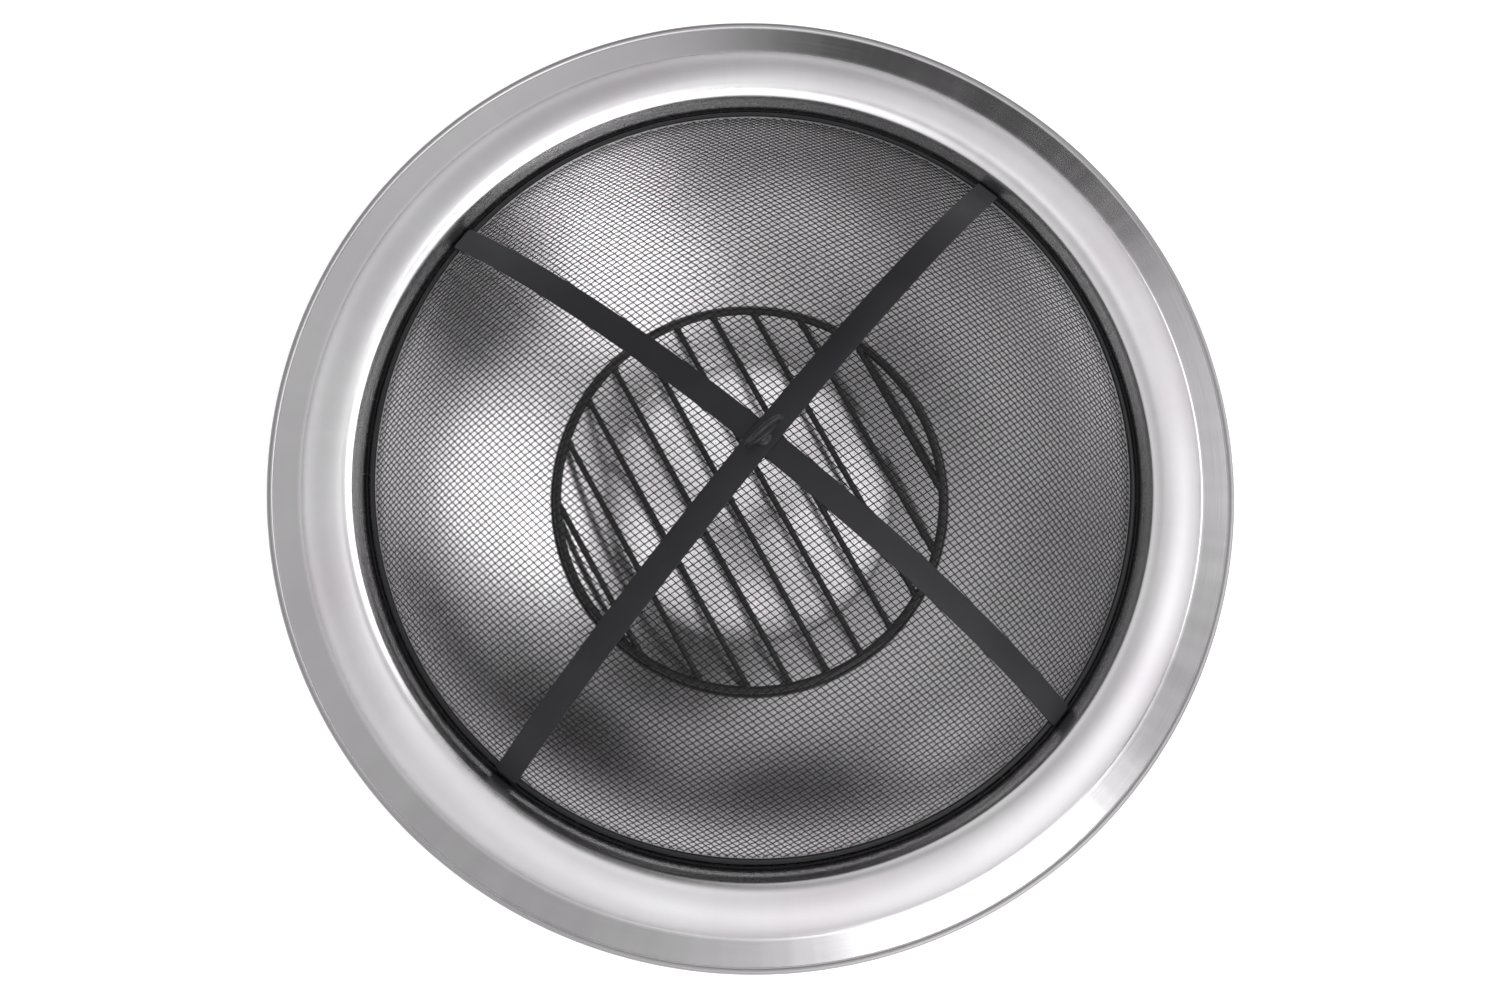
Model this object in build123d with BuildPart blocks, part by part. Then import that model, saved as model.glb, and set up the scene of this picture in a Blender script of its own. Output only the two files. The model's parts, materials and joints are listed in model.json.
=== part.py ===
"""Round steel fire pit: a bowl on a pedestal, a lift-out wire grate and a lift-off domed spark screen.

Frame: origin on the ground under the middle of the bowl, +Z up.  The two straps of the spark screen
run along X and Y.  All sizes are in millimetres.
"""
import os
from math import acos, asin, cos, degrees, hypot, radians, sin, sqrt, tan

from build123d import *

# ---- driving dimensions -------------------------------------------------------------------------
# bowl
rim_radius = 290.0          # outermost edge of the bowl
rim_height = 290.0          # edge of the bowl above the ground
sheet = 1.5                 # stainless sheet of the bowl and the pedestal
hem_radius = 2.2            # rolled hem around the edge
crease_radius = 270.0       # crease between the outer flange and the rounded crown
crease_rise = 3.0           # crease above the edge
crest_radius = 248.0        # top of the rounded crown
crest_rise = 17.5           # crest above the edge
crown_inside = 18.0         # roundness of the crown towards the middle
crown_inner_slope = 52.0    # degrees, where the crown runs into the wall
floor_radius = 91.0         # flat floor disc

# spark screen
clearance = 0.3             # between the hoop or the grate and the bowl they rest on
touch = 0.05                # gap left between pieces that are welded together
hoop_wire = 1.25            # radius of the hoop wires
hoop_radius = 228.5         # outermost edge of the hoops
hoop_step = (-1.2, 2.25)    # inner hoop's wire, seen from the outer hoop's wire
mesh_sheet = 1.3            # two crossed wires of the woven mesh
dome_height = 104.0         # apex of the mesh above the bowl's edge
strap_width = 15.0
strap_sheet = 1.5
strap_overhang = 1.6        # strap beyond the inner hoop's wire
crossing_gap = 0.2          # between the two bent straps where they cross
rivet_shank = 2.0
rivet_head = 5.0
rivet_head_height = 2.4
handle_wire = 1.5
handle_radius = 11.65       # centre line of the handle ring
handle_turn = -11.5         # degrees, plane of the handle ring from the upper strap
handle_sink = 0.5           # weld of the handle ring into the rivet head

# grate
grate_wire = 2.5            # ring
bar_wire = 2.0
grate_radius = 123.7        # centre line of the ring
bar_count = 10
bar_pitch = 24.4
bar_direction = 68.0        # degrees from X
bar_weld = 0.6              # bar ends run this far into the ring

# pedestal
foot_radius = 205.0         # pedestal's outer face at its foot
neck_radius = 165.0         # pedestal's outer face at its neck
support_wire = 4.0          # ring that the bowl sits on
support_radius = 166.0
foot_ring_width = 12.0
foot_ring_height = 8.0
pad_radius = 11.0
pad_height = 4.0
pad_stem = 3.0
pad_stem_height = 5.0
bracket_count = 4
bracket_sheet = 2.5
bracket_width = 30.0
bracket_drop = 34.0         # length of the bracket's leg on the pedestal
bracket_reach = (128.0, 155.0)   # radii between which the bracket lies on the bowl
screw_radius = 3.0
screw_hole = 3.2
screw_height = 196.0
screw_head = 5.5
screw_head_height = 3.0
screw_length = 14.0
nut_size = 10.0             # across flats
nut_height = 5.0

# ---- worked out from them -----------------------------------------------------------------------
crest_z = rim_height + crest_rise
crown_fall = crest_rise - crease_rise
crown_outside = ((crease_radius - crest_radius) ** 2 + crown_fall**2) / (2 * crown_fall)
crown_outer_slope = degrees(asin((crease_radius - crest_radius) / crown_outside))
wall_radius = crest_radius / sin(radians(crown_inner_slope)) - crown_inside
wall_z = crest_z - crown_inside + (crown_inside + wall_radius) * cos(radians(crown_inner_slope))
floor_z = wall_z - sqrt(wall_radius**2 - floor_radius**2)

hoop_outer_radius = hoop_radius - hoop_wire
hoop_outer_z = wall_z - sqrt((wall_radius - hoop_wire - clearance) ** 2 - hoop_outer_radius**2)
hoop_inner_radius = hoop_outer_radius + hoop_step[0]
hoop_inner_z = hoop_outer_z + hoop_step[1]

mesh_apex = rim_height + dome_height


def dome_through(radius, z, apex):
    """Radius and centre height of the sphere or arc with this apex that passes through (radius, z)."""
    rise = apex - z
    dome = (radius**2 + rise**2) / (2 * rise)
    return dome, apex - dome


def beside_hoop(distance, slope):
    """Point beside the inner hoop's wire, at right angles to a dome of this slope."""
    return hoop_inner_radius + distance * sin(slope), hoop_inner_z + distance * cos(slope)


rim_slope = 2 * asin((mesh_apex - hoop_inner_z) / hypot(hoop_inner_radius, mesh_apex - hoop_inner_z))
mesh_rim = beside_hoop(-(hoop_wire + mesh_sheet / 2 + touch), rim_slope)
mesh_radius, mesh_z = dome_through(mesh_rim[0], mesh_rim[1], mesh_apex)
strap_rim = beside_hoop(hoop_wire + touch, rim_slope)
strap_under_apex = mesh_apex + mesh_sheet / 2 + touch
strap_over_apex = strap_under_apex + strap_sheet + crossing_gap
straps_top = strap_over_apex + strap_sheet
handle_z = straps_top + touch + rivet_head_height - handle_sink + handle_radius + handle_wire

grate_z = wall_z - sqrt((wall_radius - grate_wire - clearance) ** 2 - grate_radius**2)

support_z = wall_z - sqrt((wall_radius + sheet + support_wire + touch) ** 2 - support_radius**2)
skirt_bottom = pad_height + foot_ring_height + touch
skirt_top = support_z - support_wire - touch
skirt_slope = (foot_radius - neck_radius) / (skirt_top - skirt_bottom)
skirt_lean = asin(skirt_slope / hypot(1, skirt_slope))


def skirt_radius(z):
    """Outer radius of the pedestal at height z."""
    return neck_radius + skirt_slope * (skirt_top - z)


def wall_point(offset, slope):
    """Point of the bowl's wall; slope in degrees, offset outwards from its inner face."""
    radius = wall_radius + offset
    return radius * sin(radians(slope)), wall_z - radius * cos(radians(slope))


def crown_point(offset, slope):
    """Point of the crown; offset below its top face, slope in degrees, negative towards the middle."""
    roundness = crown_inside if slope < 0 else crown_outside
    rise = (roundness - offset) * cos(radians(slope)) - roundness
    return crest_radius + (roundness - offset) * sin(radians(slope)), crest_z + rise


def radial_plane(angle):
    """Upright plane through the axis: its x runs outwards at this angle, its y is up."""
    a = radians(angle)
    return Plane(origin=(0, 0, 0), x_dir=(cos(a), sin(a), 0), z_dir=(sin(a), -cos(a), 0))


def skirt_plane(angle):
    """Plane that touches the pedestal's outer face at screw height, its z pointing outwards."""
    a = radians(angle)
    r = skirt_radius(screw_height)
    outwards = (cos(skirt_lean) * cos(a), cos(skirt_lean) * sin(a), sin(skirt_lean))
    return Plane(origin=(r * cos(a), r * sin(a), screw_height), x_dir=(-sin(a), cos(a), 0), z_dir=outwards)


bracket_angles = [360 / bracket_count * i for i in range(bracket_count)]
pad_angles = [angle + 180 / bracket_count for angle in bracket_angles]

os.makedirs("parts", exist_ok=True)


def save(builder, name):
    """Label one finished sub-part and write its STEP file."""
    builder.part.label = name
    export_step(builder.part, f"parts/{name}.step")


# ---- bowl ---------------------------------------------------------------------------------------
floor_slope = degrees(asin(floor_radius / wall_radius))
under_floor_slope = degrees(acos((wall_z - floor_z + sheet) / (wall_radius + sheet)))
hem = (rim_radius - hem_radius, rim_height)
crown_slopes = (-crown_inner_slope, -crown_inner_slope / 2, 0, crown_outer_slope / 2, crown_outer_slope)
crown_top = [crown_point(0, slope) for slope in crown_slopes]
crown_under = [crown_point(sheet, slope) for slope in crown_slopes]

with BuildPart() as fire_bowl:
    with BuildSketch(Plane.XZ):
        with BuildLine():
            Line((0, floor_z), wall_point(0, floor_slope))
            ThreePointArc(
                wall_point(0, floor_slope),
                wall_point(0, (floor_slope + crown_inner_slope) / 2),
                wall_point(0, crown_inner_slope),
            )
            ThreePointArc(*crown_top[:3])
            ThreePointArc(*crown_top[2:])
            Line(crown_top[-1], (hem[0], hem[1] + sheet / 2))
            Line((hem[0], hem[1] + sheet / 2), (hem[0], hem[1] - sheet / 2))
            Line((hem[0], hem[1] - sheet / 2), crown_under[-1])
            ThreePointArc(*crown_under[2:])
            ThreePointArc(*crown_under[:3])
            ThreePointArc(
                wall_point(sheet, crown_inner_slope),
                wall_point(sheet, (under_floor_slope + crown_inner_slope) / 2),
                wall_point(sheet, under_floor_slope),
            )
            Line(wall_point(sheet, under_floor_slope), (0, floor_z - sheet))
            Line((0, floor_z - sheet), (0, floor_z))
        make_face()
        with Locations(hem):
            Circle(hem_radius)
    revolve(axis=Axis.Z)
save(fire_bowl, "fire_bowl")

# ---- pedestal -----------------------------------------------------------------------------------
with BuildPart() as support_ring:
    with BuildSketch(Plane.XZ):
        with Locations((support_radius, support_z)):
            Circle(support_wire)
    revolve(axis=Axis.Z)
save(support_ring, "support_ring")

with BuildPart() as pedestal_skirt:
    with BuildSketch(Plane.XZ):
        with BuildLine():
            Polyline(
                (foot_radius - sheet, skirt_bottom),
                (foot_radius, skirt_bottom),
                (neck_radius, skirt_top),
                (neck_radius - sheet, skirt_top),
                close=True,
            )
        make_face()
    revolve(axis=Axis.Z)
    for angle in bracket_angles:
        with BuildSketch(skirt_plane(angle)):
            Circle(screw_hole)
        extrude(amount=2 * sheet, both=True, mode=Mode.SUBTRACT)
save(pedestal_skirt, "pedestal_skirt")

foot_ring_middle = foot_radius - sheet / 2
with BuildPart() as foot_ring:
    with BuildSketch(Plane.XZ):
        with Locations((foot_ring_middle, pad_height + foot_ring_height / 2)):
            RectangleRounded(foot_ring_width, foot_ring_height, 2.0)
    revolve(axis=Axis.Z)
    with BuildSketch(Plane.XY.offset(pad_height)):
        with PolarLocations(foot_ring_middle, bracket_count, start_angle=pad_angles[0]):
            Circle(pad_stem + touch)
    extrude(amount=pad_stem_height + touch, mode=Mode.SUBTRACT)
save(foot_ring, "foot_ring")

for number, angle in enumerate(pad_angles, 1):
    at = (foot_ring_middle * cos(radians(angle)), foot_ring_middle * sin(radians(angle)))
    with BuildPart() as foot_pad:
        with BuildSketch(Plane.XY):
            with Locations(at):
                Circle(pad_radius)
        extrude(amount=pad_height - touch)
        fillet(foot_pad.edges().filter_by(GeomType.CIRCLE).sort_by(Axis.Z)[0], 1.0)
        with BuildSketch(Plane.XY.offset(pad_height - touch)):
            with Locations(at):
                Circle(pad_stem)
        extrude(amount=pad_stem_height)
    save(foot_pad, f"foot_pad_{number}")

# The bracket's centre line: along the underside of the bowl, then down the inside of the pedestal.
half = bracket_sheet / 2
edge_gap = skirt_radius(screw_height) - sqrt(skirt_radius(screw_height) ** 2 - (bracket_width / 2) ** 2)
bowl_slopes = [degrees(asin(r / wall_radius)) for r in bracket_reach]
middle_slope = radians(sum(bowl_slopes) / 2)
bowl_touch = wall_point(sheet + touch + half, degrees(middle_slope))
bowl_leg = [
    (r, bowl_touch[1] + (r - bowl_touch[0]) * tan(middle_slope)) for r in bracket_reach
]


def leg_radius(z):
    """Centre line of the bracket's leg inside the pedestal at height z."""
    return skirt_radius(z) - (sheet + half) / cos(skirt_lean) - edge_gap - 2 * touch


leg_top = skirt_top - 6.0
skirt_leg = [(leg_radius(z), z) for z in (leg_top, leg_top - bracket_drop)]

for number, angle in enumerate(bracket_angles, 1):
    with BuildPart() as bowl_bracket:
        with BuildSketch(radial_plane(angle)):
            with BuildLine():
                FilletPolyline(*bowl_leg, *skirt_leg, radius=3.0)
                offset(amount=half, side=Side.BOTH)
            make_face()
        extrude(amount=bracket_width / 2, both=True)
        with BuildSketch(skirt_plane(angle)):
            Circle(screw_hole)
        extrude(amount=-4 * bracket_sheet, mode=Mode.SUBTRACT)
    save(bowl_bracket, f"bowl_bracket_{number}")

with BuildPart() as bracket_screws:
    for angle in bracket_angles:
        with BuildSketch(skirt_plane(angle).offset(touch)):
            Circle(screw_head)
        extrude(amount=screw_head_height)
        with BuildSketch(skirt_plane(angle).offset(touch)):
            Circle(screw_radius)
        extrude(amount=-screw_length)
    rims = bracket_screws.edges().filter_by(GeomType.CIRCLE).filter_by(lambda e: e.radius > screw_radius)
    face_distance = skirt_radius(screw_height) + screw_head_height / 2
    fillet([e for e in rims if hypot(e.arc_center.X, e.arc_center.Y) > face_distance], 2.0)
save(bracket_screws, "bracket_screws")

nut_face = sheet + bracket_sheet + edge_gap + 4 * touch
with BuildPart() as bracket_nuts:
    for angle in bracket_angles:
        with BuildSketch(skirt_plane(angle).offset(-nut_face)):
            RegularPolygon(nut_size / 2, 6, major_radius=False)
            Circle(screw_radius + touch, mode=Mode.SUBTRACT)
        extrude(amount=-nut_height)
save(bracket_nuts, "bracket_nuts")

# ---- spark screen -------------------------------------------------------------------------------
for name, radius, z in (
    ("hoop_outer", hoop_outer_radius, hoop_outer_z),
    ("hoop_inner", hoop_inner_radius, hoop_inner_z),
):
    with BuildPart() as hoop:
        with BuildSketch(Plane.XZ):
            with Locations((radius, z)):
                Circle(hoop_wire)
        revolve(axis=Axis.Z)
    save(hoop, name)

mesh_slope = asin(mesh_rim[0] / mesh_radius)


def dome_point(radius, centre_z, slope):
    """Point of a dome whose slope is in radians from its apex."""
    return radius * sin(slope), centre_z + radius * cos(slope)


with BuildPart() as spark_mesh:
    with BuildSketch(Plane.XZ):
        with BuildLine():
            outside, inside = mesh_radius + mesh_sheet / 2, mesh_radius - mesh_sheet / 2
            ThreePointArc(*[dome_point(outside, mesh_z, mesh_slope * part) for part in (0, 0.5, 1)])
            ThreePointArc(*[dome_point(inside, mesh_z, mesh_slope * part) for part in (0, 0.5, 1)])
            Line(dome_point(outside, mesh_z, 0), dome_point(inside, mesh_z, 0))
            Line(dome_point(outside, mesh_z, mesh_slope), dome_point(inside, mesh_z, mesh_slope))
        make_face()
    revolve(axis=Axis.Z)
    with BuildSketch(Plane.XY.offset(mesh_apex - 2 * mesh_sheet)):
        Circle(rivet_shank + touch)
    extrude(amount=4 * mesh_sheet, mode=Mode.SUBTRACT)
save(spark_mesh, "spark_mesh")

for name, plane, apex in (
    ("strap_over", Plane.XZ, strap_over_apex),
    ("strap_under", Plane.YZ, strap_under_apex),
):
    strap_radius, strap_z = dome_through(strap_rim[0], strap_rim[1], apex)
    end = asin(strap_rim[0] / strap_radius) + strap_overhang / strap_radius
    with BuildPart() as strap:
        with BuildSketch(plane):
            with BuildLine():
                outside, inside = strap_radius + strap_sheet, strap_radius
                ThreePointArc(*[dome_point(outside, strap_z, end * part) for part in (-1, 0, 1)])
                ThreePointArc(*[dome_point(inside, strap_z, end * part) for part in (-1, 0, 1)])
                for side in (-end, end):
                    Line(dome_point(outside, strap_z, side), dome_point(inside, strap_z, side))
            make_face()
        extrude(amount=strap_width / 2, both=True)
        with BuildSketch(Plane.XY.offset(apex - strap_sheet)):
            Circle(rivet_shank + touch)
        extrude(amount=4 * strap_sheet, mode=Mode.SUBTRACT)
    save(strap, name)

rivet_bottom = mesh_apex - mesh_sheet / 2 - touch
with BuildPart() as handle_rivet:
    with BuildSketch(Plane.XY.offset(straps_top + touch)):
        Circle(rivet_head)
    extrude(amount=rivet_head_height)
    fillet(handle_rivet.edges().group_by(Axis.Z)[-1], 1.2)
    with BuildSketch(Plane.XY.offset(rivet_bottom)):
        Circle(rivet_shank)
    extrude(amount=straps_top + touch - rivet_bottom)
    with BuildSketch(Plane.XY.offset(rivet_bottom)):
        Circle(rivet_head)
    extrude(amount=-1.0)
save(handle_rivet, "handle_rivet")

ring_plane = radial_plane(handle_turn)
with BuildPart() as handle_ring:
    with BuildSketch(Plane(origin=(0, 0, handle_z), x_dir=ring_plane.x_dir, z_dir=(0, 0, 1))):
        with Locations((handle_radius, 0)):
            Circle(handle_wire)
    revolve(axis=Axis(origin=(0, 0, handle_z), direction=ring_plane.z_dir))
save(handle_ring, "handle_ring")

# ---- grate --------------------------------------------------------------------------------------
with BuildPart() as grate_ring:
    with BuildSketch(Plane.XZ):
        with Locations((grate_radius, grate_z)):
            Circle(grate_wire)
    revolve(axis=Axis.Z)
save(grate_ring, "grate_ring")

along = Vector(cos(radians(bar_direction)), sin(radians(bar_direction)), 0)
across = Vector(-along.Y, along.X, 0)
for number in range(1, bar_count + 1):
    side = bar_pitch * (number - (bar_count + 1) / 2)
    reach = sqrt((grate_radius - grate_wire + bar_weld) ** 2 - side**2)
    middle = across * side + Vector(0, 0, grate_z)
    with BuildPart() as grate_bar:
        with BuildSketch(Plane(origin=middle, z_dir=along)):
            Circle(bar_wire)
        extrude(amount=reach, both=True)
    save(grate_bar, f"grate_bar_{number:02d}")
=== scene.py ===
"""Looks of a round steel fire pit: spun bowl, wire grate, domed spark screen and pedestal.

Everything is in metres in the part's own frame: origin on the ground, +Z up, straps along X and Y.
"""
import json
from functools import lru_cache
from math import asin, atan2, ceil, cos, pi, radians, sin, sqrt

import bmesh
import bpy
from mathutils import Matrix, Vector

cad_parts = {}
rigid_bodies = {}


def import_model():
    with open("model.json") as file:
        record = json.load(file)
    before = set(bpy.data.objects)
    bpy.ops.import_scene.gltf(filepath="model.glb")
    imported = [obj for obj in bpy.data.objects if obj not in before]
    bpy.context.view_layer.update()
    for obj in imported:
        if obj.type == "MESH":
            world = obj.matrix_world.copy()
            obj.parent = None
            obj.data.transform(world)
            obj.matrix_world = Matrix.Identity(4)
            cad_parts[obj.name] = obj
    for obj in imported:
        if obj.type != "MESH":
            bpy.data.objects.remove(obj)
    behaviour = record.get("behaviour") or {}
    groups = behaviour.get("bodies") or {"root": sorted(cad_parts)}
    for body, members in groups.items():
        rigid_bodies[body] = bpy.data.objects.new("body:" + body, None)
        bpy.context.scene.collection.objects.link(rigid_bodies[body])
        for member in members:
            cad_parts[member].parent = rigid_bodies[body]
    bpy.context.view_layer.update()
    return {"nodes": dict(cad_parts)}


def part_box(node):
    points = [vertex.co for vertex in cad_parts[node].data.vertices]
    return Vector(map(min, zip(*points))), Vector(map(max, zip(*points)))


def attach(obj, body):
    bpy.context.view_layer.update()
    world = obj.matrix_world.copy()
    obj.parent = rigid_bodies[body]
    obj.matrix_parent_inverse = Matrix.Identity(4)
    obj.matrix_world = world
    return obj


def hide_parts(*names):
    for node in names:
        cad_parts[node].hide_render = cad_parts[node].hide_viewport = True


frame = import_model()

MM = 0.001

# ---- driving sizes ------------------------------------------------------------------------------
SHEET = 1.5 * MM                 # bowl and pedestal sheet
HEM_RADIUS = 2.2 * MM            # rolled edge of the bowl
CREASE_RADIUS = 270.0 * MM       # crease between the flange and the crown
CREASE_RISE = 3.0 * MM           # crease above the edge
CREST_RADIUS = 248.0 * MM        # top of the crown
CREST_RISE = 17.5 * MM           # crest above the edge
CROWN_INSIDE = 18.0 * MM         # roundness of the crown towards the middle
CROWN_INNER_SLOPE = radians(52.0)
FLOOR_RADIUS = 91.0 * MM
MESH_PITCH = 3.42 * MM           # between neighbouring wires
MESH_WIRE = 0.31 * MM            # radius
WARP_DIRECTION = radians(-18.8)
WEFT_DIRECTION = radians(85.4)
STRAP_WIDTH = 15.0 * MM
STRAP_SHEET = 1.5 * MM
STRAP_EDGE = 0.4 * MM            # rounding along the strap's edges
STRAP_CORNER = 2.0 * MM          # rounding of the strap's end corners
HANDLE_TURN = radians(-11.5)
HANDLE_WIRE = 1.5 * MM
RIVET_HEAD = 5.0 * MM
RIVET_HEAD_HEIGHT = 2.4 * MM
RIVET_SHANK = 2.0 * MM
BAR_COUNT = 10
BAR_WIRE = 2.0 * MM
BAR_PITCH = 24.4 * MM
BAR_DIRECTION = radians(68.0)
NECK_RADIUS = 165.0 * MM         # pedestal's outer face at its neck
FOOT_RING_WIDTH = 12.0 * MM
PAD_RADIUS = 11.0 * MM
SCREW_Z = 196.0 * MM
SCREW_RADIUS = 3.0 * MM
SCREW_LENGTH = 14.0 * MM
SCREW_HEAD = 5.5 * MM
SCREW_HEAD_HEIGHT = 3.0 * MM
SOCKET = 2.0 * MM                # half the key width of the screw's socket
THREAD_PITCH = 1.0 * MM
BRACKET_SHEET = 2.5 * MM
BRACKET_WIDTH = 30.0 * MM
NUT_SIZE = 10.0 * MM             # across flats
NUT_HEIGHT = 5.0 * MM
ROUND = 512                      # segments around the bowl


# ---- sizes read from the frame ------------------------------------------------------------------
@lru_cache(maxsize=None)
def low(node):
    """Lowest corner of a CAD node."""
    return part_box(node)[0]


@lru_cache(maxsize=None)
def high(node):
    """Highest corner of a CAD node."""
    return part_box(node)[1]


RIM_RADIUS = high("fire_bowl").x
FLOOR_Z = low("fire_bowl").z + SHEET
CREST_Z = high("fire_bowl").z
RIM_Z = CREST_Z - CREST_RISE
CROWN_FALL = CREST_RISE - CREASE_RISE
CROWN_OUTSIDE = ((CREASE_RADIUS - CREST_RADIUS) ** 2 + CROWN_FALL**2) / (2 * CROWN_FALL)
CROWN_OUTER_SLOPE = asin((CREASE_RADIUS - CREST_RADIUS) / CROWN_OUTSIDE)
WALL_RADIUS = CREST_RADIUS / sin(CROWN_INNER_SLOPE) - CROWN_INSIDE
WALL_Z = CREST_Z - CROWN_INSIDE + (CROWN_INSIDE + WALL_RADIUS) * cos(CROWN_INNER_SLOPE)
MESH_APEX = high("spark_mesh").z - 2 * MESH_WIRE
FOOT_RADIUS = high("pedestal_skirt").x
SKIRT_LOW, SKIRT_HIGH = low("pedestal_skirt").z, high("pedestal_skirt").z
SKIRT_SLOPE = (FOOT_RADIUS - NECK_RADIUS) / (SKIRT_HIGH - SKIRT_LOW)
SKIRT_LEAN = atan2(SKIRT_SLOPE, 1.0)
FIRST_PAD = pi / 4


# ---- small helpers ------------------------------------------------------------------------------
def arc(centre, radius, start, end, steps):
    """Points (r, z) on an arc; angles from straight up, positive outwards."""
    turns = [start + (end - start) * i / steps for i in range(steps + 1)]
    return [(centre[0] + radius * sin(t), centre[1] + radius * cos(t)) for t in turns]


def build_mesh(name, verts, faces, sharp=30.0):
    """Closed mesh with its faces outwards, shaded smooth except at edges above this angle."""
    mesh = bpy.data.meshes.new(name)
    mesh.from_pydata(verts, [], faces)
    shape = bmesh.new()
    shape.from_mesh(mesh)
    bmesh.ops.recalc_face_normals(shape, faces=shape.faces)
    shape.to_mesh(mesh)
    shape.free()
    mesh.validate()
    mesh.shade_smooth()
    mesh.set_sharp_from_angle(angle=radians(sharp))
    return mesh


def lathe_mesh(name, outline, segments=ROUND, sharp=30.0):
    """Turn a closed outline of (r, z) points about the Z axis; points on the axis become poles."""
    verts, rings = [], []
    for r, z in outline:
        if r < 1e-7:
            rings.append([len(verts)] * segments)
            verts.append((0.0, 0.0, z))
        else:
            rings.append(list(range(len(verts), len(verts) + segments)))
            verts += [(r * cos(2 * pi * i / segments), r * sin(2 * pi * i / segments), z)
                      for i in range(segments)]
    faces = []
    for ring, after in zip(rings, rings[1:] + rings[:1]):
        if ring[0] == ring[-1] and after[0] == after[-1]:
            continue
        for i in range(segments):
            j = (i + 1) % segments
            corners = [ring[i], ring[j], after[j], after[i]]
            faces.append([c for k, c in enumerate(corners) if c != corners[k - 1]])
    return build_mesh(name, verts, faces, sharp)


def bar_mesh(name, sections, sharp=30.0):
    """Skin over a row of closed sections, capped at both ends."""
    verts = [point for section in sections for point in section]
    count = len(sections[0])
    faces = [list(range(count)), list(range(len(verts) - count, len(verts)))]
    for start in range(0, len(verts) - count, count):
        for i in range(count):
            j = (i + 1) % count
            faces.append([start + i, start + j, start + count + j, start + count + i])
    return build_mesh(name, verts, faces, sharp)


def place(name, mesh, material):
    """Link a finished mesh as an object with one material."""
    piece = bpy.data.objects.new(name, mesh)
    bpy.context.scene.collection.objects.link(piece)
    mesh.materials.clear()
    mesh.materials.append(material)
    return piece


def finish(piece, body, slot, *nodes):
    """Hang the piece on the body that carries it and hide the CAD nodes it stands for; its finish (slot)
    is not used.
    """
    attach(piece, body)
    if nodes:
        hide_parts(*nodes)
    return piece


# ---- node groups --------------------------------------------------------------------------------
class Tree:
    """A node group that is written as nested calls."""

    def __init__(self, name, kind, inputs, outputs):
        self.group = bpy.data.node_groups.new(name, kind)
        self.ids = {}
        for direction, sockets in (("INPUT", inputs), ("OUTPUT", outputs)):
            for label, socket_kind in sockets:
                socket = self.group.interface.new_socket(
                    label, in_out=direction, socket_type="NodeSocket" + socket_kind)
                if direction == "INPUT":
                    self.ids[label] = socket.identifier
        self.entry = self.group.nodes.new("NodeGroupInput")
        self.exit = self.group.nodes.new("NodeGroupOutput")

    def __getitem__(self, label):
        return self.entry.outputs[label]

    def node(self, kind, inputs=None, **settings):
        node = self.group.nodes.new(kind)
        for key, value in settings.items():
            setattr(node, key, value)
        for key, value in (inputs or {}).items():
            if isinstance(value, bpy.types.NodeSocket):
                self.group.links.new(value, node.inputs[key])
            else:
                node.inputs[key].default_value = value
        return node

    def add(self, kind, inputs=None, output=0, **settings):
        return self.node(kind, inputs, **settings).outputs[output]

    def math(self, operation, a, b=0.0, c=0.0):
        inputs = {0: a, 1: b}
        if operation == "MULTIPLY_ADD":
            inputs[2] = c
        return self.add("ShaderNodeMath", inputs, operation=operation)

    def vector(self, x=0.0, y=0.0, z=0.0):
        return self.add("ShaderNodeCombineXYZ", {0: x, 1: y, 2: z})

    def noise(self, vector, scale, detail, w=None):
        """Noise value around 0, from about -0.5 to 0.5."""
        inputs = {"Vector": vector, "Scale": scale, "Detail": detail}
        if w is not None:
            inputs["W"] = w
        value = self.add("ShaderNodeTexNoise", inputs, noise_dimensions="3D" if w is None else "4D")
        return self.math("SUBTRACT", value, 0.5)

    def put(self, label, value):
        self.group.links.new(value, self.exit.inputs[label])

    def tubes(self, curves):
        """Round wires along curves, from the tree's own number of sides and wire radius."""
        section = self.add("GeometryNodeCurvePrimitiveCircle", {
            "Resolution": self["Sides"], "Radius": self["Wire Radius"]})
        return self.add("GeometryNodeCurveToMesh", {
            "Curve": curves, "Profile Curve": section, "Fill Caps": True})

    def finish(self, geometry, material):
        real = self.add("GeometryNodeRealizeInstances", {"Geometry": geometry})
        inputs = {"Geometry": real, "Material": material}
        self.put("Geometry", self.add("GeometryNodeSetMaterial", inputs))


# ---- finishes -----------------------------------------------------------------------------------
FINISH_OUTPUTS = [("Base Color", "Color"), ("Roughness", "Float"), ("Height", "Float")]


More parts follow.
